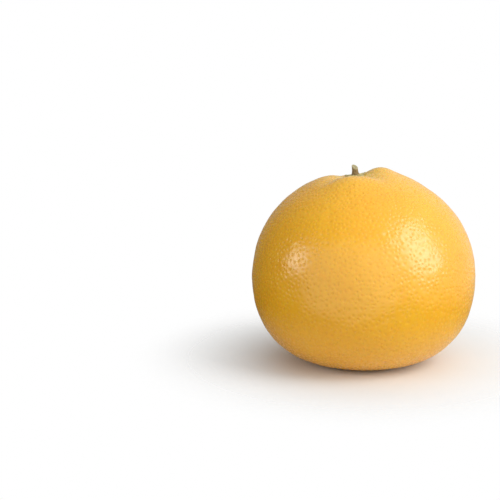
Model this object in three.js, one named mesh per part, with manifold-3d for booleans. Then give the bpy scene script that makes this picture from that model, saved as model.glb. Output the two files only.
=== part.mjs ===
// A whole grapefruit, as picked: the fruit, the star-shaped calyx at its stem end and a short cut stem.
// Millimetres, +Z up. It rests on a small flat spot at the origin, and +Y is its back.

import * as THREE from 'three';
import { mergeVertices } from 'three/addons/utils/BufferGeometryUtils.js';
import Module from 'manifold-3d';

const wasm = await Module();
wasm.setup();

// Driving dimensions. Lengths are in millimetres and angles in degrees.
const MEAN_RADIUS = 53.24;
const GAP = 0.3; // kept between touching pieces

// Shares of the mean radius that follow cos 2a, cos 3a, cos 4a and cos 5a, with a measured from straight up.
// They flatten the fruit and set its widest level below the middle.
const OUTLINE_SHARES = [-0.0696, 0.042, -0.0197, 0.0103];

// The blossom end swells gently, and the fruit's weight presses its lowest part flat.
const BLOSSOM = { swell: 1.0, spread: 13 };
const FLAT_PRESS = 0.2;

// The stem grows a little to the left of the top, out of a shallow basin.
const STEM_LEAN = 5.5;
const BASIN = { depth: 4.2, spread: 16.7 };

// Ribs (raised) and furrows (sunk) around the basin. bearing is measured anticlockwise from the right-hand
// side, spread is the half-width in bearing, and reach is the angle from the stem where it is strongest.
// The higher RIB_FADE is, the faster they fade out on both sides of their reach.
const RIB_FADE = 1.6;
const RIBS = [
  { bearing: 16, spread: 38, height: 2.7, reach: 14.8 },
  { bearing: 12, spread: 40, height: -0.4, reach: 38 },
  { bearing: 59, spread: 19, height: -1.6, reach: 17 },
  { bearing: 108, spread: 50, height: -4.6, reach: 17 },
  { bearing: 168, spread: 30, height: 1.8, reach: 16 },
  { bearing: 218, spread: 14, height: -0.8, reach: 16 },
  { bearing: 259, spread: 49, height: 2.7, reach: 17 },
  { bearing: 312, spread: 16, height: -0.9, reach: 16 },
];

const CALYX = { reach: 5.4, lobes: 5, lobeShare: 0.14, lobeBearing: 20, height: 1.9 };
const STEM = { radius: 1.6, flare: 0.5, collar: 1.0 };
// The knife's cut: its height over the skin at the stem's middle, its slope, and the bearing it slopes down to.
const CUT = { height: 5.3, slope: 33, bearing: -50 };

// How finely the pieces are faceted: segments around, and rings from end to end.
const FRUIT_FACETS = { around: 66, rings: 46 };
const CALYX_FACETS = { around: 40, rings: 12 };
const STEM_FACETS = 24;

// The frame at the stem end: right and back lie across the stem, and up runs along it.
const lean = THREE.MathUtils.degToRad(STEM_LEAN);
const stemUp = new THREE.Vector3(-Math.sin(lean), 0, Math.cos(lean));
const stemRight = new THREE.Vector3(Math.cos(lean), 0, Math.sin(lean));
const stemBack = new THREE.Vector3().crossVectors(stemUp, stemRight);
// Turns a form made around +Y, as three.js makes its spheres and lathes, to stand along the stem.
const alongStem = new THREE.Matrix4().makeBasis(stemRight, stemUp, stemBack.clone().negate());

// A bell curve: 1 at the middle and 0.37 one spread away.
function bell(distance, spread) {
  return Math.exp(-((distance / spread) ** 2));
}

// 0 at the stem, 1 at reach, and back to 0 well beyond it.
function ribStrength(fromStem, reach) {
  const share = (fromStem / reach) ** 2;
  return (share * Math.exp(1 - share)) ** RIB_FADE;
}

// The distance from the fruit's centre to its skin, along a unit direction.
function skinRadius(direction) {
  const down = THREE.MathUtils.radToDeg(direction.angleTo(new THREE.Vector3(0, 0, -1)));
  const polar = Math.PI - THREE.MathUtils.degToRad(down);
  let share = 1;
  OUTLINE_SHARES.forEach((part, index) => {
    share += part * Math.cos((index + 2) * polar);
  });
  let radius = MEAN_RADIUS * share + BLOSSOM.swell * bell(down, BLOSSOM.spread);

  const fromStem = THREE.MathUtils.radToDeg(direction.angleTo(stemUp));
  const bearing = THREE.MathUtils.radToDeg(Math.atan2(direction.dot(stemBack), direction.dot(stemRight)));
  radius -= BASIN.depth * bell(fromStem, BASIN.spread);
  for (const rib of RIBS) {
    const aside = THREE.MathUtils.euclideanModulo(bearing - rib.bearing + 180, 360) - 180;
    radius += rib.height * bell(aside, rib.spread) * ribStrength(fromStem, rib.reach);
  }
  return radius;
}

// A closed ball of unit size whose poles lie on the stem's line, with its shared vertices merged.
function stemBall({ around, rings }) {
  const geometry = new THREE.SphereGeometry(1, around, rings);
  geometry.deleteAttribute('normal');
  geometry.deleteAttribute('uv');
  return mergeVertices(geometry, 1e-5);
}

// Moves every vertex of a geometry to where place(point) sets it.
function reshape(geometry, place) {
  const positions = geometry.attributes.position;
  const point = new THREE.Vector3();
  for (let index = 0; index < positions.count; index += 1) {
    point.fromBufferAttribute(positions, index);
    place(point);
    positions.setXYZ(index, point.x, point.y, point.z);
  }
  return geometry;
}

function toSolid(geometry) {
  return new wasm.Manifold(new wasm.Mesh({
    numProp: 3,
    vertProperties: geometry.attributes.position.array,
    triVerts: Uint32Array.from(geometry.index.array),
  }));
}

function toGeometry(solid) {
  const { vertProperties, triVerts } = solid.getMesh();
  const geometry = new THREE.BufferGeometry();
  geometry.setAttribute('position', new THREE.BufferAttribute(vertProperties, 3));
  geometry.setIndex(new THREE.BufferAttribute(triVerts, 1));
  geometry.computeVertexNormals();
  return geometry;
}

// A box with only positions and merged corners, which manifold-3d takes as it is.
function block(size) {
  const geometry = new THREE.BoxGeometry(size, size, size);
  geometry.deleteAttribute('normal');
  geometry.deleteAttribute('uv');
  return mergeVertices(geometry);
}

// The whole fruit, with the spot that it rests on pressed flat.
function fruitGeometry(flatLevel) {
  const round = reshape(stemBall(FRUIT_FACETS), (point) => {
    point.applyMatrix4(alongStem).normalize();
    point.multiplyScalar(skinRadius(point));
  });
  const tableSize = 2 * MEAN_RADIUS;
  const table = block(tableSize);
  table.translate(0, 0, flatLevel - tableSize / 2);
  return toGeometry(toSolid(round).subtract(toSolid(table)));
}

// The calyx lies on the skin around the stem: a low star with five round lobes. With a margin it comes out
// that much larger all over, which is the room that the stem keeps clear.
function calyxGeometry(margin) {
  return reshape(stemBall(CALYX_FACETS), (point) => {
    const bearing = Math.atan2(-point.z, point.x);
    const lobe = Math.cos(CALYX.lobes * (bearing - THREE.MathUtils.degToRad(CALYX.lobeBearing)));
    const reach = (CALYX.reach + margin) * (1 + CALYX.lobeShare * lobe);
    const across = Math.hypot(point.x, point.z) * reach;
    const height = (point.y + 1) / 2 * (CALYX.height + 2 * margin) - margin;
    const fromStem = across / skinRadius(stemUp);
    const side = new THREE.Vector3().addScaledVector(stemRight, Math.cos(bearing));
    side.addScaledVector(stemBack, Math.sin(bearing));
    const direction = stemUp.clone().multiplyScalar(Math.cos(fromStem));
    direction.addScaledVector(side, Math.sin(fromStem));
    point.copy(direction).multiplyScalar(skinRadius(direction) + GAP + height);
  });
}

// The stem stands on the calyx: flared where it joins it, straight above, and cut off at a slope.
function stemGeometry() {
  const skin = skinRadius(stemUp);
  const root = skin + CALYX.height / 2;
  const foot = skin + CALYX.height;
  const top = skin + CUT.height + STEM.radius;
  const profile = [
    new THREE.Vector2(0, root),
    new THREE.Vector2(STEM.radius + STEM.flare, root),
    new THREE.Vector2(STEM.radius + STEM.flare, foot),
    new THREE.Vector2(STEM.radius, foot + STEM.collar),
    new THREE.Vector2(STEM.radius, top),
    new THREE.Vector2(0, top),
  ];
  const geometry = new THREE.LatheGeometry(profile, STEM_FACETS);
  geometry.deleteAttribute('normal');
  geometry.deleteAttribute('uv');
  const upright = mergeVertices(geometry, 1e-4).applyMatrix4(alongStem);

  const size = 4 * STEM.radius;
  const cutOff = block(size);
  cutOff.translate(0, size / 2, 0);
  cutOff.rotateZ(-THREE.MathUtils.degToRad(CUT.slope));
  cutOff.rotateY(THREE.MathUtils.degToRad(CUT.bearing));
  cutOff.translate(0, skin + CUT.height, 0);
  cutOff.applyMatrix4(alongStem);
  return toGeometry(toSolid(upright).subtract(toSolid(calyxGeometry(GAP))).subtract(toSolid(cutOff)));
}

function piece(name, geometry, color, roughness) {
  const material = new THREE.MeshStandardMaterial({ color, roughness, metalness: 0 });
  const mesh = new THREE.Mesh(geometry, material);
  mesh.name = name;
  return mesh;
}

const flatLevel = FLAT_PRESS - skinRadius(new THREE.Vector3(0, 0, -1));

const grapefruit = new THREE.Group();
grapefruit.add(piece('fruit', fruitGeometry(flatLevel), 0xe7ab3f, 0.45));
grapefruit.add(piece('calyx', calyxGeometry(0), 0xb0a374, 0.75));
grapefruit.add(piece('stem', stemGeometry(), 0x7d6134, 0.85));
grapefruit.position.z = -flatLevel;

export default grapefruit;
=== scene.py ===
"""A ripe grapefruit with pitted waxy peel, a dry star-shaped calyx and a short cut stem."""

import math

import bmesh
import bpy
import numpy as np
from bpy.props import FloatProperty, FloatVectorProperty, IntProperty, PointerProperty
from mathutils import Matrix, Vector, kdtree


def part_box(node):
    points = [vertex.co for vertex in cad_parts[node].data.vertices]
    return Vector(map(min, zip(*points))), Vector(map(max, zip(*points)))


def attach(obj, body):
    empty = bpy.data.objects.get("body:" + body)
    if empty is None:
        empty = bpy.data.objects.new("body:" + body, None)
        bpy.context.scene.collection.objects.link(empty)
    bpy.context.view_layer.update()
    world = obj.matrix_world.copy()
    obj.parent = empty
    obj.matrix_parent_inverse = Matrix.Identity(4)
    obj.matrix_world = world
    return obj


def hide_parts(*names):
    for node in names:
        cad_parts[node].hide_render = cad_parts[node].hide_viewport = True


bl_info = {
    "name": "Grapefruit",
    "version": (1, 0, 0),
    "blender": (4, 5, 0),
    "location": "View3D > Sidebar > Grapefruit",
    "description": "Builds a grapefruit with its peel, calyx and stem, and a plain studio around it",
    "category": "Object",
}

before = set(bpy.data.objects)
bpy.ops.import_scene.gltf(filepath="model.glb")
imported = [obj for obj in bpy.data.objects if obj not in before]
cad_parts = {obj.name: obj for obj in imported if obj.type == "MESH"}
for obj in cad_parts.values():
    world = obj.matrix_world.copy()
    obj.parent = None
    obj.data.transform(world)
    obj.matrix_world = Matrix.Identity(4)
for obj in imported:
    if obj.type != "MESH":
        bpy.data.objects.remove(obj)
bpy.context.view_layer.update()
FRUIT_LOW, FRUIT_HIGH = (Vector(corner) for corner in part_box("fruit"))
FRUIT_WIDTH = FRUIT_HIGH.x - FRUIT_LOW.x
MM = 0.001


# ---------------------------------------------------------------------------------------------------------
# Sizes and colours that a user would change
# ---------------------------------------------------------------------------------------------------------

def length(name, description, default):
    return FloatProperty(name=name, description=description, default=default, unit="LENGTH", precision=5)


def angle(name, description, degrees):
    return FloatProperty(name=name, description=description, default=math.radians(degrees), subtype="ANGLE")


def share(name, description, default):
    return FloatProperty(name=name, description=description, default=default, min=0, max=1, subtype="FACTOR")


def colour(name, description, default):
    return FloatVectorProperty(name=name, description=description, default=default, size=3, min=0, max=1,
                               subtype="COLOR")


class FruitForm(bpy.types.PropertyGroup):
    """The fruit's outline and its stem end"""
    mean_radius: length("Mean radius", "Centre to skin, averaged over the outline", 0.4752 * FRUIT_WIDTH)
    blossom_swell: length("Blossom swell", "How far the underside swells at its middle", 1.0 * MM)
    flat_press: length("Flat press", "How far the underside is pressed flat", 0.2 * MM)
    stem_lean: angle("Stem lean", "How far the stem leans to the left of straight up", 5.5)
    basin_depth: length("Basin depth", "How far the stem's basin is sunk", 4.2 * MM)
    basin_spread: angle("Basin spread", "Half-width of the stem's basin, seen from the middle", 16.7)


class PeelForm(bpy.types.PropertyGroup):
    """The oil glands that pit the peel"""
    glands: IntProperty(name="Glands", description="Number of oil glands all over", default=6000, min=500)
    unevenness: share("Unevenness", "How far the glands stray from even spacing", 0.42)
    pit_radius: length("Pit radius", "Radius of a middling pit", 0.52 * MM)
    pit_depth: length("Pit depth", "Depth of a middling pit", 0.20 * MM)
    puff: length("Puff", "Height of the skin that swells between pits", 0.035 * MM)
    ripple: length("Ripple", "Height of the slow ripples in the skin", 0.03 * MM)
    scar_radius: length("Scar radius", "Radius of the scar at the blossom end", 2.2 * MM)
    scar_depth: length("Scar depth", "Depth of the scar at the blossom end", 0.6 * MM)


class CalyxForm(bpy.types.PropertyGroup):
    """The star-shaped calyx"""
    reach: length("Reach", "Mean distance from the stem to the rim", 5.3 * MM)
    lobe_share: share("Lobes", "How far the five lobes stand out", 0.17)
    thickness: length("Thickness", "Height of the disc around the stem", 1.7 * MM)
    edge: length("Edge", "Thickness at the rim", 0.55 * MM)


class StemForm(bpy.types.PropertyGroup):
    """The stub of stem"""
    radius: length("Radius", "Radius half-way up", 1.5 * MM)
    flare: length("Flare", "How far the foot spreads", 0.5 * MM)
    ridge: length("Ridge", "Height of the fibres along the bark", 0.09 * MM)
    cut_height: length("Cut height", "Height of the cut over the skin, at the stem's middle", 5.25 * MM)
    cut_slope: angle("Cut slope", "How steeply the cut end slopes", 33)
    cut_bearing: angle("Cut bearing", "The side that the cut slopes down to", -50)


class Finishes(bpy.types.PropertyGroup):
    """Colours of the peel, the calyx, the stem and the floor"""
    gold: colour("Gold", "The peel's main colour", (0.77, 0.378, 0.014))
    lemon: colour("Lemon", "Yellower patches of peel", (0.79, 0.43, 0.022))
    # Amber also serves as painted shade over the lower half of the peel.
    amber: colour("Amber", "Oranger patches of peel", (0.74, 0.31, 0.008))
    green: colour("Green", "Tint in the basin around the stem", (0.66, 0.50, 0.10))
    straw: colour("Straw", "Pale dry tissue of the calyx", (0.56, 0.47, 0.20))
    moss: colour("Moss", "Grey-green tissue of the calyx", (0.34, 0.30, 0.13))
    bark: colour("Bark", "Brown bark of the stem", (0.17, 0.09, 0.028))
    pith: colour("Pith", "Pale cut end of the stem", (0.36, 0.31, 0.17))
    floor: colour("Floor", "Floor", (0.74, 0.74, 0.73))


# Shares of the mean radius that follow cos 2a, cos 3a, cos 4a and cos 5a, with a measured from straight up.
OUTLINE_SHARES = (-0.0696, 0.042, -0.0197, 0.0103)
BLOSSOM_SPREAD = math.radians(13)

# Ribs and furrows around the basin: bearing from the right-hand side, half-width in bearing, height in
# millimetres (furrows are negative) and the angle from the stem where each is strongest.
RIB_FADE = 1.6
RIBS = (
    (16, 38, 2.7, 14.8),
    (12, 40, -0.4, 38),
    (59, 19, -1.6, 17),
    (108, 50, -4.6, 17),
    (168, 30, 1.8, 16),
    (218, 14, -0.8, 16),
    (259, 49, 2.7, 17),
    (312, 16, -0.9, 16),
)


# ---------------------------------------------------------------------------------------------------------
# The fruit's skin as a formula
# ---------------------------------------------------------------------------------------------------------

def bell(distance, spread):
    return np.exp(-(distance / spread) ** 2)


class Skin:
    """Gives the height of the fruit's skin along any direction from its centre."""

    def __init__(self, form):
        self.form = form
        lean = form.stem_lean
        self.up = np.array([-math.sin(lean), 0, math.cos(lean)])
        self.right = np.array([math.cos(lean), 0, math.sin(lean)])
        self.back = np.cross(self.up, self.right)
        down = np.array([[0.0, 0.0, -1.0]])
        self.centre = np.array([0, 0, self.radius(down)[0] - form.flat_press])

    def around_stem(self, directions):
        """The angle from the stem and the bearing around it, for unit directions."""
        from_stem = np.arccos(np.clip(directions @ self.up, -1, 1))
        return from_stem, np.arctan2(directions @ self.back, directions @ self.right)

    def toward(self, from_stem, bearing):
        """The unit direction at an angle from the stem and a bearing around it."""
        aside = np.multiply.outer(np.cos(bearing), self.right) + np.multiply.outer(np.sin(bearing), self.back)
        return np.cos(from_stem)[..., None] * self.up + np.sin(from_stem)[..., None] * aside

    def radius(self, directions):
        """The distance from the centre to the skin, for unit directions."""
        form = self.form
        polar = np.arccos(np.clip(directions[:, 2], -1, 1))
        swell = 1 + sum(part * np.cos((index + 2) * polar) for index, part in enumerate(OUTLINE_SHARES))
        radius = form.mean_radius * swell + form.blossom_swell * bell(math.pi - polar, BLOSSOM_SPREAD)
        from_stem, bearing = self.around_stem(directions)
        radius = radius - form.basin_depth * bell(from_stem, form.basin_spread)
        for rib_bearing, spread, height, reach in RIBS:
            aside = np.angle(np.exp(1j * (bearing - math.radians(rib_bearing))))
            rising = (from_stem / math.radians(reach)) ** 2
            strength = (rising * np.exp(1 - rising)) ** RIB_FADE
            radius = radius + height * MM * bell(aside, math.radians(spread)) * strength
        return radius

    def place(self, directions, lift):
        """Points that stand a given height over the skin."""
        return self.centre + directions * (self.radius(directions) + lift)[:, None]


def unit(vectors):
    return vectors / np.linalg.norm(vectors, axis=-1, keepdims=True)


def waves(rng, points, wavelength, count):
    """Smooth random ripples with a spread of about 1: a sum of plane waves in many directions."""
    directions = unit(rng.normal(size=(count, 3)))
    numbers = 2 * math.pi / (wavelength * rng.uniform(0.7, 1.4, count))
    phases = rng.uniform(0, 2 * math.pi, count)
    return np.cos(points @ (directions * numbers[:, None]).T + phases).sum(axis=1) * math.sqrt(2 / count)


# ---------------------------------------------------------------------------------------------------------
# Meshes
# ---------------------------------------------------------------------------------------------------------

def add_piece(name, points, faces, material, attributes=None):
    """A smooth-shaded mesh object at the origin, with one number per vertex for each attribute."""
    mesh = bpy.data.meshes.new(name)
    mesh.from_pydata(points.tolist(), [], faces)
    mesh.validate()
    for attribute_name, values in (attributes or {}).items():
        attribute = mesh.attributes.new(attribute_name, "FLOAT", "POINT")
        attribute.data.foreach_set("value", np.asarray(values, dtype=np.float32))
    mesh.polygons.foreach_set("use_smooth", [True] * len(mesh.polygons))
    mesh.materials.append(material)
    piece = bpy.data.objects.new(name, mesh)
    bpy.context.scene.collection.objects.link(piece)
    return piece


def finish_piece(piece, node):
    """Stands a piece in for its CAD node: hangs it on the root body and hides the node."""
    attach(piece, "root")
    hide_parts(node)


EASING_ROUNDS = 4
EASING_NEIGHBOURS = 7
EASING_STEP = 0.16


def gland_centres(rng, count, unevenness):
    """Directions spread over the sphere like glands in peel: a spiral, jittered and then eased apart."""
    index = np.arange(count) + 0.5
    height = 1 - 2 * index / count
    turn = math.pi * (1 + math.sqrt(5)) * index
    flat = np.sqrt(1 - height ** 2)
    directions = np.stack([flat * np.cos(turn), flat * np.sin(turn), height], axis=1)
    spacing = math.sqrt(4 * math.pi / count)
    directions = unit(directions + rng.normal(size=directions.shape) * spacing * unevenness)
    for _ in range(EASING_ROUNDS):
        tree = kdtree.KDTree(count)
        for number, direction in enumerate(directions):
            tree.insert(direction, number)
        tree.balance()
        pushes = np.zeros_like(directions)
        for number, direction in enumerate(directions):
            for other, _, distance in tree.find_n(direction, EASING_NEIGHBOURS)[1:]:
                if distance < spacing:
                    pushes[number] += (direction - np.array(other)) * (spacing / (distance + 1e-6) - 1)
        directions = unit(directions + pushes * EASING_STEP)
    return directions


def gland_cells(centres):
    """The corners between neighbouring glands, and for each gland the ring of corners around it."""
    hull = bmesh.new()
    for direction in centres:
        hull.verts.new(direction)
    hull.verts.index_update()
    bmesh.ops.convex_hull(hull, input=hull.verts)
    bmesh.ops.triangulate(hull, faces=hull.faces)
    triangles = np.array([[vertex.index for vertex in face.verts] for face in hull.faces])
    hull.free()
    first, second, third = (centres[triangles[:, column]] for column in range(3))
    corners = unit(first + second + third)
    inward = np.sum(np.cross(second - first, third - first) * first, axis=1) < 0
    triangles[inward] = triangles[inward, ::-1]

    # For each gland, the neighbour that comes after a neighbour, and the corner between the two.
    following = [{} for _ in centres]
    for corner, (one, two, three) in enumerate(triangles.tolist()):
        following[one][two] = (three, corner)
        following[two][three] = (one, corner)
        following[three][one] = (two, corner)
    rings = []
    for steps in following:
        start = neighbour = next(iter(steps))
        ring = []
        while not ring or neighbour != start:
            neighbour, corner = steps[neighbour]
            ring.append(corner)
        rings.append(ring)
    return corners, rings


# The pits: how their sizes vary, the most of a cell that a lip may take, and a lip's share of the pit's depth
# and of the painted shade that darkens the pit.
PIT_SIZES = {"spread": 0.16, "least": 0.7, "most": 1.3}
LIP_REACH = 0.45
LIP_DEPTH = 0.42
LIP_SHADE = 0.55
WRINKLES = 11
WRINKLE_HEIGHT = 0.12 * MM
WRINKLE_REACH = math.radians(9)
WRINKLE_SPREAD = math.radians(5)
STEM_TINT_SPREAD = math.radians(17)


def build_peel(form, peel, material):
    """The peel: one cell for each oil gland, with a pit in its middle and skin that swells around it."""
    rng = np.random.default_rng(11)
    skin = Skin(form)
    centres = gland_centres(rng, peel.glands, peel.unevenness)
    corners, rings = gland_cells(centres)
    size = np.clip(rng.normal(1, PIT_SIZES["spread"], len(centres)), PIT_SIZES["least"], PIT_SIZES["most"])
    pit_angle = peel.pit_radius / form.mean_radius * size
    depth = peel.pit_depth * size * rng.uniform(0.8, 1.15, len(centres))
    corner_start = len(centres)
    directions = [centres, corners]
    lifts = [-depth, peel.puff * rng.normal(0.6, 0.7, len(corners))]
    pits = [np.ones(len(centres)), np.zeros(len(corners))]
    faces = []
    ring_directions, ring_lifts, ring_pits = [], [], []
    next_index = corner_start + len(corners)
    for gland, ring in enumerate(rings):
        count = len(ring)
        outward = corners[ring] - centres[gland]
        reach = np.linalg.norm(outward, axis=1, keepdims=True)
        lip = centres[gland] + outward * np.minimum(pit_angle[gland] / reach, LIP_REACH)
        shoulder = (lip + corners[ring]) * 0.5
        ring_directions += [lip, shoulder]
        ring_lifts += [np.full(count, -LIP_DEPTH * depth[gland]), np.full(count, peel.puff)]
        ring_pits += [np.full(count, LIP_SHADE), np.zeros(count)]
        for place in range(count):
            after = (place + 1) % count
            lip_a, lip_b = next_index + place, next_index + after
            shoulder_a, shoulder_b = lip_a + count, lip_b + count
            faces.append((gland, lip_a, lip_b))
            faces.append((lip_a, shoulder_a, shoulder_b, lip_b))
            faces.append((shoulder_a, corner_start + ring[place], corner_start + ring[after], shoulder_b))
        next_index += 2 * count
    directions = unit(np.concatenate(directions + ring_directions))
    lift = np.concatenate(lifts + ring_lifts)
    pit = np.concatenate(pits + ring_pits)

    smooth = skin.place(directions, np.zeros(len(directions)))
    lift += peel.ripple * waves(rng, smooth, 5.0 * MM, 40)
    lift += 1.6 * peel.ripple * waves(rng, smooth, 16.0 * MM, 30)
    from_stem, bearing = skin.around_stem(directions)
    lift += WRINKLE_HEIGHT * np.cos(WRINKLES * bearing) * bell(from_stem - WRINKLE_REACH, WRINKLE_SPREAD)
    from_scar = (math.pi - from_stem) * form.mean_radius
    scar = bell(from_scar, peel.scar_radius)
    lift -= peel.scar_depth * scar
    points = skin.place(directions, lift)
    points[:, 2] = np.maximum(points[:, 2], FRUIT_LOW.z)

    near_stem = bell(from_stem, STEM_TINT_SPREAD)
    # Painted shade: 0 at the fruit's middle height, rising to 1 at its foot, to darken the lower half.
    low = np.clip((FRUIT_HIGH.z * 0.5 - points[:, 2]) / (FRUIT_HIGH.z * 0.5), 0, 1)
    attributes = {"pit": pit, "near_stem": near_stem, "scar": scar, "low": low}
    piece = add_piece("fruit_peel", points, faces, material, attributes)
    finish_piece(piece, "fruit")


def revolve_faces(rows, around):
    """Faces of a closed form: a first point, rows of points around, and a last point."""
    faces = []
    last = 1 + rows * around
    for place in range(around):
        after = (place + 1) % around
        faces.append((0, 1 + place, 1 + after))
        for row in range(rows - 1):
            start = 1 + row * around
            faces.append((start + place, start + around + place, start + around + after, start + after))
        faces.append((last, last - around + after, last - around + place))
    return faces


CALYX_SIDES = 160
LOBE_BEARING = math.radians(20)
RAGGED_WAVES = (7, 11, 13, 17, 23)
CALYX_SINK = 0.15 * MM


def build_calyx(form, calyx, material):
    """The calyx: a thin star with five blunt lobes, a raised middle, veins and a curled, ragged rim."""
    rng = np.random.default_rng(5)
    skin = Skin(form)
    around = CALYX_SIDES
    bearing = np.linspace(0, 2 * math.pi, around, endpoint=False)
    lobes = 0.5 + 0.5 * np.cos(5 * (bearing - LOBE_BEARING))
    ragged = sum(
        rng.uniform(0.2, 1) * np.cos(number * bearing + rng.uniform(0, 6.3)) for number in RAGGED_WAVES
    )
    outline = calyx.reach * (1 - calyx.lobe_share + 2 * calyx.lobe_share * lobes ** 1.3 + 0.012 * ragged)
    curl = 0.5 + 0.5 * np.cos(5 * (bearing - LOBE_BEARING) + 0.6) * np.cos(2 * bearing + 1.1)
    top_shares = np.array([0.1, 0.2, 0.3, 0.4, 0.5, 0.6, 0.7, 0.78, 0.86, 0.92, 0.97])
    under_shares = np.array([1.0, 0.96, 0.85, 0.6, 0.3])
    rows, tints, veins = [], [], []
    for top, shares in ((True, top_shares), (False, under_shares)):
        for out in shares:
            dome = calyx.edge + (calyx.thickness - calyx.edge) * (1 - out ** 1.5) ** 1.2
            vein = np.cos(10 * (bearing - LOBE_BEARING)) * 0.5 + 0.5
            groove = 0.16 * MM * (1 - vein) * math.sin(math.pi * min(out, 1)) ** 2
            pucker = 0.10 * MM * np.cos(25 * bearing + 2 * np.sin(3 * bearing)) * out ** 2
            lift = dome - groove + pucker if top else np.full(around, -CALYX_SINK)
            lift = lift + calyx.edge * 0.8 * curl * out ** 4
            if not top and out == 1.0:
                lift = lift + calyx.edge * 0.5
            distance = outline * out
            direction = skin.toward(distance / form.mean_radius, bearing)
            rows.append(skin.place(direction, lift))
            tints.append(np.full(around, out))
            veins.append(vein)
    middle = skin.up[None, :]
    first = skin.place(middle, np.array([calyx.thickness]))
    last = skin.place(middle, np.array([-CALYX_SINK]))
    points = np.concatenate([first] + rows + [last])
    attributes = {
        "outward": np.concatenate([[0]] + tints + [[0]]),
        "vein": np.concatenate([[0]] + veins + [[0]]),
    }
    piece = add_piece("calyx_star", points, revolve_faces(len(rows), around), material, attributes)
    finish_piece(piece, "calyx")


STEM_SIDES = 72
FIBRE_WAVES = (5, 8, 13, 21)
STEM_SINK = 0.4 * MM
CUT_BEVEL = 0.12 * MM
CUT_ROUGHNESS = 0.03 * MM
# Rings of the cut end from the bark inwards: share of the radius, and how far each is sunk.
CUT_RINGS = ((0.86, 0.02 * MM), (0.7, 0.09 * MM), (0.45, 0.11 * MM), (0.22, 0.24 * MM))


def build_stem(form, calyx, stem, material):
    """The stem stub: fibrous bark, flared at its foot, and a sloping cut end with a sunken pith."""
    rng = np.random.default_rng(3)
    skin = Skin(form)
    around = STEM_SIDES
    bearing = np.linspace(0, 2 * math.pi, around, endpoint=False)
    ground = skin.place(skin.up[None, :], np.zeros(1))[0]
    foot = calyx.thickness - STEM_SINK
    fibres = sum(
        rng.uniform(0.3, 1) * np.cos(number * bearing + rng.uniform(0, 6.3)) for number in FIBRE_WAVES
    )
    radii, levels, sinks = [], [], []
    for level in np.concatenate([np.linspace(0, 0.96, 18), [0.985, 1.0]]):
        drift = rng.normal(0, 0.12, around)
        drift = (drift + np.roll(drift, 1) + np.roll(drift, -1)) / 3
        radius = stem.radius * (1 + 0.03 * math.cos(5 * level)) + stem.flare * math.exp(-level / 0.22)
        radius = radius + stem.ridge * (fibres * 0.5 + drift) - CUT_BEVEL * max(0, (level - 0.96) / 0.04)
        radii.append(radius)
        levels.append(level)
        sinks.append(np.zeros(around))
    rim = radii[-1]
    for out, sink in CUT_RINGS:
        radii.append(rim * out)
        levels.append(1.0)
        sinks.append(np.full(around, sink) + CUT_ROUGHNESS * rng.normal(size=around))
    radii = np.concatenate([np.zeros((1, around)), np.stack(radii), np.zeros((1, around))])
    level = np.array([0] + levels + [1.0])[:, None]
    sinks = np.concatenate([np.zeros((1, around)), np.stack(sinks), np.full((1, around), CUT_RINGS[-1][1])])
    downhill = radii * np.cos(bearing - stem.cut_bearing) * math.tan(stem.cut_slope)
    height = foot + level * (stem.cut_height - foot - downhill) - sinks
    across, back = radii * np.cos(bearing), radii * np.sin(bearing)
    points = ground + height[..., None] * skin.up
    points = points + across[..., None] * skin.right + back[..., None] * skin.back
    points = np.concatenate([points[0, :1], points[1:-1].reshape(-1, 3), points[-1, :1]])
    rows = len(levels)
    cut = np.repeat([0.0] * (rows - len(CUT_RINGS) - 1) + [1.0] * (len(CUT_RINGS) + 1), around)
    attributes = {
        "cut": np.concatenate([[0], cut, [1]]),
        "level": np.concatenate([[0], np.repeat(levels, around), [1]]),
    }
    faces = [face[::-1] for face in revolve_faces(rows, around)]
    piece = add_piece("stem_stub", points, faces, material, attributes)
    finish_piece(piece, "stem")


# ---------------------------------------------------------------------------------------------------------
# Materials
# ---------------------------------------------------------------------------------------------------------

class Wire:
    """An output socket whose arithmetic adds the matching Math nodes."""

    def __init__(self, shader, socket):
        self.shader = shader
        self.socket = socket

    def math(self, operation, first, second):
        return self.shader.node("ShaderNodeMath", {"operation": operation}, {0: first, 1: second})

    def __add__(self, other):
        return self.math("ADD", self, other)

    def __rsub__(self, other):
        return self.math("SUBTRACT", other, self)

    def __mul__(self, other):
        return self.math("MULTIPLY", self, other)

    def __pow__(self, other):
        return self.math("POWER", self, other)

    __radd__ = __add__
    __rmul__ = __mul__


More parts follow.
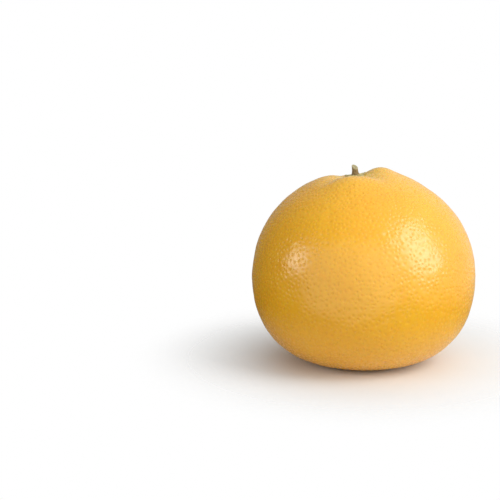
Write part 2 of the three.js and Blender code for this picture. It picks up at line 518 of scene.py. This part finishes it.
class Shader:
    """The emptied nodes of a new material or world, added to one call at a time."""

    def __init__(self, owner):
        self.owner = owner
        owner.use_nodes = True
        self.tree = owner.node_tree
        self.tree.nodes.clear()

    def node(self, kind, settings, sockets, output=0):
        """Adds a node, sets it up, fills its sockets with values or wires, and returns one output."""
        made = self.tree.nodes.new(kind)
        for name, value in settings.items():
            if name == "stops":
                ramp = made.color_ramp.elements
                while len(ramp) < len(value):
                    ramp.new(0.5)
                for element, (position, tone) in zip(ramp, value):
                    element.position = position
                    element.color = (tone, tone, tone, 1)
            else:
                setattr(made, name, value)
        for key, value in sockets.items():
            if isinstance(value, Wire):
                self.tree.links.new(value.socket, made.inputs[key])
            else:
                made.inputs[key].default_value = value
        return Wire(self, made.outputs[output]) if made.outputs else None

    def position(self):
        return self.node("ShaderNodeTexCoord", {}, {}, "Object")

    def attribute(self, name):
        return self.node("ShaderNodeAttribute", {"attribute_name": name}, {}, "Fac")

    def noise(self, place, wavelength, detail=2.0, roughness=0.5, distortion=0.0):
        sockets = {"Vector": place, "Scale": 1 / wavelength, "Detail": detail, "Roughness": roughness,
                   "Distortion": distortion}
        return self.node("ShaderNodeTexNoise", {}, sockets, "Fac")

    def ramp(self, value, *stops):
        return self.node("ShaderNodeValToRGB", {"stops": stops}, {"Fac": value})

    def dot(self, vector, fixed):
        return self.node("ShaderNodeVectorMath", {"operation": "DOT_PRODUCT"}, {0: vector, 1: fixed}, "Value")

    def fade(self, value, source, target):
        """Eases from one target value to the other while value crosses the source range."""
        sockets = {"Value": value, "From Min": source[0], "From Max": source[1], "To Min": target[0],
                   "To Max": target[1]}
        return self.node("ShaderNodeMapRange", {"interpolation_type": "SMOOTHSTEP"}, sockets, "Result")

    def mix(self, factor, first, second, blend="MIX"):
        settings = {"data_type": "RGBA", "blend_type": blend}
        sockets = {0: factor, 6: first, 7: second}
        return self.node("ShaderNodeMix", settings, sockets, 2)

    def bump(self, height, distance, strength):
        sockets = {"Height": height, "Distance": distance, "Strength": strength}
        return self.node("ShaderNodeBump", {}, sockets)

    def surface(self, sockets):
        shaded = self.node("ShaderNodeBsdfPrincipled", {}, sockets)
        self.node("ShaderNodeOutputMaterial", {}, {"Surface": shaded})
        return self.owner


def opaque(tone):
    return (*tone, 1)


def peel_material(finishes):
    """Golden, waxy peel: slow patches of colour, painted shade in the pits and over the lower half, and a
    fine grain in the skin.
    """
    shader = Shader(bpy.data.materials.new("peel"))
    place = shader.position()
    pit = shader.attribute("pit")
    near_stem = shader.attribute("near_stem")
    patches = shader.ramp(shader.noise(place, 45 * MM, 3), (0.36, 0), (0.66, 1))
    blush = shader.ramp(shader.noise(place, 22 * MM, 4, 0.6, 0.4), (0.42, 0), (0.75, 1))
    speckle = shader.ramp(shader.noise(place, 1.1 * MM, 2), (0.35, 0), (0.65, 1))
    tone = shader.mix(patches, opaque(finishes.gold), opaque(finishes.lemon))
    tone = shader.mix(blush * 0.35, tone, opaque(finishes.amber))
    tone = shader.mix(speckle * 0.18, tone, opaque(finishes.amber))
    # Painted shade: amber deepens the lower half of the peel.
    tone = shader.mix(shader.attribute("low") * 0.25, tone, opaque(finishes.amber))
    tone = shader.mix(near_stem * 0.6, tone, opaque(finishes.green))
    # Painted shade: the pits are darkened a little, as if in their own shadow.
    pit_shade = shader.mix(1.0, tone, (0.72, 0.60, 0.42, 1), "MULTIPLY")
    tone = shader.mix(pit * 0.12, tone, pit_shade)
    tone = shader.mix(shader.attribute("scar") * 0.8, tone, opaque(finishes.bark))
    grain = shader.noise(place, 0.35 * MM, 3, 0.6)
    weave = shader.noise(place, 1.3 * MM, 2)
    normal = shader.bump(grain + weave * 1.5, 0.06 * MM, 0.6)
    roughness = pit * 0.14 + shader.noise(place, 6 * MM, 3) * 0.08 + 0.21
    return shader.surface({
        "Base Color": tone,
        "Roughness": roughness,
        "Normal": normal,
        "Subsurface Weight": 0.18,
        "Subsurface Radius": (1.0, 0.45, 0.12),
        "Subsurface Scale": 2.5 * MM,
        "Specular IOR Level": 0.65,
    })


def calyx_material(finishes):
    """Dry grey-green tissue, paler along its veins and browner at its rim."""
    shader = Shader(bpy.data.materials.new("calyx"))
    place = shader.position()
    outward = shader.attribute("outward")
    vein = shader.attribute("vein")
    mottle = shader.ramp(shader.noise(place, 1.6 * MM, 4, 0.65), (0.35, 0), (0.65, 1))
    tone = shader.mix(mottle, opaque(finishes.moss), opaque(finishes.straw))
    tone = shader.mix(vein * 0.35, tone, opaque(finishes.straw))
    tone = shader.mix((outward ** 6) * 0.3, tone, opaque(finishes.bark))
    fibres = shader.noise(place, 0.25 * MM, 4, 0.7)
    return shader.surface({
        "Base Color": tone,
        "Roughness": mottle * 0.12 + 0.68,
        "Normal": shader.bump(fibres + vein * 0.4, 0.12 * MM, 0.8),
        "Subsurface Weight": 0.05,
        "Subsurface Scale": 1.0 * MM,
    })


def stem_material(finishes):
    """Brown bark with lengthwise fibres, and a pale cut end."""
    shader = Shader(bpy.data.materials.new("stem"))
    place = shader.position()
    stretched = shader.node("ShaderNodeMapping", {}, {"Vector": place, "Scale": (1, 1, 0.18)})
    fibre = shader.ramp(shader.noise(stretched, 0.5 * MM, 5, 0.65), (0.35, 0), (0.68, 1))
    speck = shader.ramp(shader.noise(place, 0.9 * MM, 3), (0.45, 0), (0.6, 1))
    cut = shader.attribute("cut")
    level = shader.attribute("level")
    bark = shader.mix(fibre * 0.35, opaque(finishes.bark), opaque(finishes.moss))
    bark = shader.mix(speck * 0.12, bark, opaque(finishes.straw))
    bark = shader.mix((level ** 5) * 0.7, bark, opaque(finishes.pith))
    end = shader.mix(speck * 0.5, opaque(finishes.pith), opaque(finishes.moss))
    return shader.surface({
        "Base Color": shader.mix(cut, bark, end),
        "Roughness": fibre * 0.15 + 0.7,
        "Normal": shader.bump(fibre, 0.15 * MM, 0.8),
    })


FLOOR_FADE = (0.035, 0.12)


def floor_material(finishes):
    """A plain pale floor that fades out into the white around it."""
    shader = Shader(bpy.data.materials.new("studio_floor"))
    place = shader.position()
    away = shader.node("ShaderNodeVectorMath", {"operation": "LENGTH"}, {0: place}, "Value")
    return shader.surface({
        "Base Color": opaque(finishes.floor),
        "Roughness": shader.noise(place, 4 * MM, 2) * 0.05 + 0.6,
        "Specular IOR Level": 0.2,
        "Alpha": shader.fade(away, FLOOR_FADE, (1, 0)),
    })


# ---------------------------------------------------------------------------------------------------------
# Studio
# ---------------------------------------------------------------------------------------------------------

VIEW_DISTANCE = 1.0
VIEW_ELEVATION = math.radians(13)
SENSOR_WIDTH = 36.0
SEEN_WIDTH = 0.2515 # width of the view at the fruit
FRUIT_RIGHT_OF_VIEW = 0.0571
FRUIT_BELOW_VIEW = 0.0093
FLOOR_RADIUS = 0.5
FLOOR_SIDES = 64

# Soft boxes: where each stands from the fruit's middle, its distance, width, height and power.
SOFT_BOXES = {
    "key": ((0.77, -0.33, 0.53), 4.0, 2.5, 3.4, 142.0),
    "front": ((-0.30, -0.94, 0.16), 4.0, 10.0, 7.0, 225.0),
    "fill": ((-0.95, -0.17, 0.28), 4.0, 1.0, 1.3, 28.0),
}


def add_camera(centre):
    data = bpy.data.cameras.new("camera")
    data.sensor_width = SENSOR_WIDTH
    data.lens = SENSOR_WIDTH * VIEW_DISTANCE / SEEN_WIDTH
    data.clip_start = 0.01
    data.clip_end = 50
    camera = bpy.data.objects.new("camera", data)
    look = Vector((0, math.cos(VIEW_ELEVATION), -math.sin(VIEW_ELEVATION)))
    right = Vector((1, 0, 0))
    up = right.cross(look)
    spot = centre - look * VIEW_DISTANCE - right * FRUIT_RIGHT_OF_VIEW + up * FRUIT_BELOW_VIEW
    camera.matrix_world = Matrix.Translation(spot) @ Matrix((right, up, -look)).transposed().to_4x4()
    bpy.context.scene.collection.objects.link(camera)
    bpy.context.scene.camera = camera


def add_soft_box(name, centre, direction, distance, width, height, power):
    data = bpy.data.lights.new(name, "AREA")
    data.shape = "RECTANGLE"
    data.size = width
    data.size_y = height
    data.energy = power
    light = bpy.data.objects.new(name, data)
    light.location = centre + Vector(direction).normalized() * distance
    light.rotation_euler = (light.location - centre).to_track_quat("Z", "Y").to_euler()
    bpy.context.scene.collection.objects.link(light)


def add_floor(material):
    around = FLOOR_SIDES
    angles = np.linspace(0, 2 * math.pi, around, endpoint=False)
    points = np.stack([np.cos(angles), np.sin(angles), np.zeros(around)], axis=1) * FLOOR_RADIUS
    floor = add_piece("studio_floor", points, [tuple(range(around))], material)


WHITE = (1, 1, 1)
UP = (0, 0, 1)
SKY_SIDE = (0.85, 0.30, 0.40)
SKY_DIM = 0.06
SKY_BRIGHT = 0.9


def add_sky():
    """A sky that the camera sees white, and that as a light is bright above, behind and to the right."""
    world = bpy.data.worlds.new("studio")
    shader = Shader(world)
    direction = shader.node("ShaderNodeTexCoord", {}, {}, "Generated")
    side = shader.dot(direction, SKY_SIDE)
    glow = shader.fade(side, (-0.5, 0.8), (SKY_DIM, SKY_BRIGHT))
    glow = glow * shader.fade(shader.dot(direction, UP), (-0.45, -0.12), (0, 1))
    seen = shader.node("ShaderNodeLightPath", {}, {}, "Is Camera Ray")
    strength = glow + seen * (1 - glow)
    sky = shader.node("ShaderNodeBackground", {}, {"Color": opaque(WHITE), "Strength": strength})
    shader.node("ShaderNodeOutputWorld", {}, {"Surface": sky})
    bpy.context.scene.world = world


# ---------------------------------------------------------------------------------------------------------
# Operators and panel
# ---------------------------------------------------------------------------------------------------------

class GRAPEFRUIT_OT_peel(bpy.types.Operator):
    """Build the fruit with its pitted peel"""
    bl_idname = "grapefruit.peel"
    bl_label = "Peel"

    def execute(self, context):
        scene = context.scene
        build_peel(scene.fruit_form, scene.peel_form, peel_material(scene.fruit_finishes))
        return {"FINISHED"}


class GRAPEFRUIT_OT_calyx(bpy.types.Operator):
    """Build the star-shaped calyx at the stem end"""
    bl_idname = "grapefruit.calyx"
    bl_label = "Calyx"

    def execute(self, context):
        scene = context.scene
        build_calyx(scene.fruit_form, scene.calyx_form, calyx_material(scene.fruit_finishes))
        return {"FINISHED"}


class GRAPEFRUIT_OT_stem(bpy.types.Operator):
    """Build the stub of stem"""
    bl_idname = "grapefruit.stem"
    bl_label = "Stem"

    def execute(self, context):
        scene = context.scene
        build_stem(scene.fruit_form, scene.calyx_form, scene.stem_form, stem_material(scene.fruit_finishes))
        return {"FINISHED"}


class GRAPEFRUIT_OT_stage(bpy.types.Operator):
    """Set up the floor, the soft boxes, the sky and the camera"""
    bl_idname = "grapefruit.stage"
    bl_label = "Stage"

    def execute(self, context):
        scene = context.scene
        centre = Vector(Skin(scene.fruit_form).centre)
        add_floor(floor_material(scene.fruit_finishes))
        for name, settings in SOFT_BOXES.items():
            add_soft_box(name, centre, *settings)
        add_sky()
        add_camera(centre)
        scene.view_settings.view_transform = "Standard"
        return {"FINISHED"}


BUILD_STEPS = (GRAPEFRUIT_OT_peel, GRAPEFRUIT_OT_calyx, GRAPEFRUIT_OT_stem, GRAPEFRUIT_OT_stage)


class GRAPEFRUIT_PT_build(bpy.types.Panel):
    """Lists the steps that build the grapefruit"""
    bl_label = "Grapefruit"
    bl_space_type = "VIEW_3D"
    bl_region_type = "UI"
    bl_category = "Grapefruit"

    def draw(self, context):
        for step in BUILD_STEPS:
            self.layout.operator(step.bl_idname)


GROUPS = {
    "fruit_form": FruitForm,
    "peel_form": PeelForm,
    "calyx_form": CalyxForm,
    "stem_form": StemForm,
    "fruit_finishes": Finishes,
}


def register():
    for group in GROUPS.values():
        bpy.utils.register_class(group)
    for name, group in GROUPS.items():
        setattr(bpy.types.Scene, name, PointerProperty(type=group))
    for step in BUILD_STEPS:
        bpy.utils.register_class(step)
    bpy.utils.register_class(GRAPEFRUIT_PT_build)


def unregister():
    bpy.utils.unregister_class(GRAPEFRUIT_PT_build)
    for step in reversed(BUILD_STEPS):
        bpy.utils.unregister_class(step)
    for name in GROUPS:
        delattr(bpy.types.Scene, name)
    for group in reversed(list(GROUPS.values())):
        bpy.utils.unregister_class(group)


def main():
    register()
    bpy.ops.grapefruit.peel()
    bpy.ops.grapefruit.calyx()
    bpy.ops.grapefruit.stem()
    bpy.ops.grapefruit.stage()


if __name__ == "__main__":
    main()
